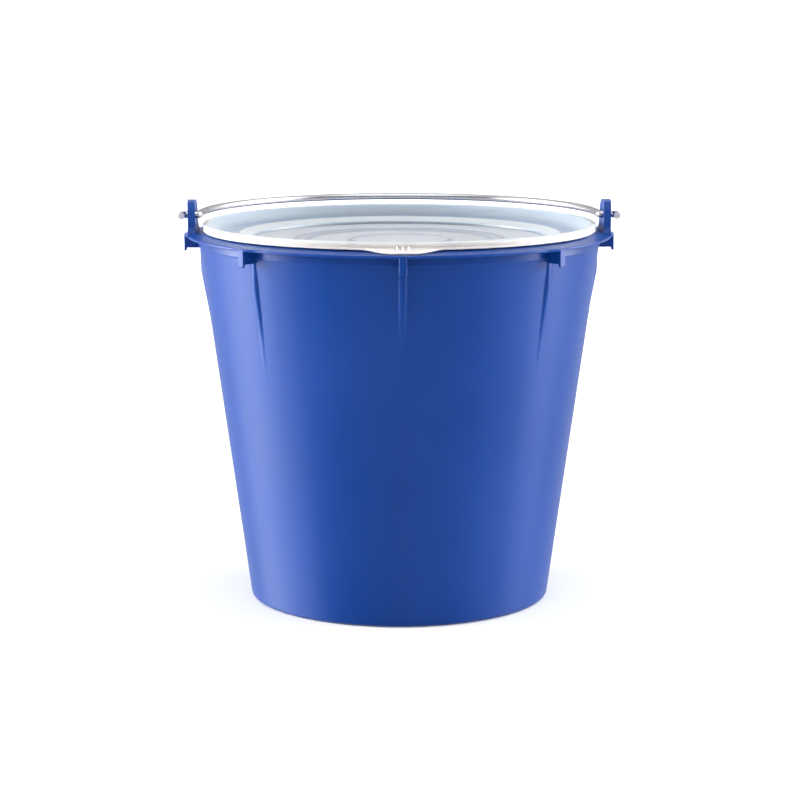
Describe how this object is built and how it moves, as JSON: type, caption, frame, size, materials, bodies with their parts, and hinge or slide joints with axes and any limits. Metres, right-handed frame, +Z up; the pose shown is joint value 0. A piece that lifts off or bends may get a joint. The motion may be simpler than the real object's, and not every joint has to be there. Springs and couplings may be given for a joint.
{
  "type": "fermenting bucket",
  "caption": "Tapered plastic bucket with a brim and rim tabs, a translucent push-on lid with a front pull tongue, and a steel wire bail folded back.",
  "frame": {"origin": "centre of the base, on the surface that the bucket stands on", "axes": "+Z up along the bucket's axis, +X through the right-hand ear and the bail's pivots, -Y to the front, where the lid's pull tongue is"},
  "size_m": [0.3756, 0.3664, 0.3417],
  "materials": {
    "bucket_plastic": "satin moulded polypropylene, blue",
    "lid_plastic": "translucent natural polyethylene, milky white",
    "bail_steel": "bright zinc-plated drawn wire"
  },
  "bodies": {
    "bucket": {"bucket": "bucket_plastic"},
    "lid": {"lid": "lid_plastic"},
    "bail": {"bail": "bail_steel"}
  },
  "joints": [
    {"name": "bail_swing", "type": "hinge", "parent": "bucket", "child": "bail", "pos_m": [0, 0, 0.3289], "axis": [1, 0, 0], "range_deg": [0, 180]},
    {"name": "lid_lift", "type": "slide", "parent": "bucket", "child": "lid", "axis": [0, 0, 1], "range_m": [0, 0.15]}
  ]
}
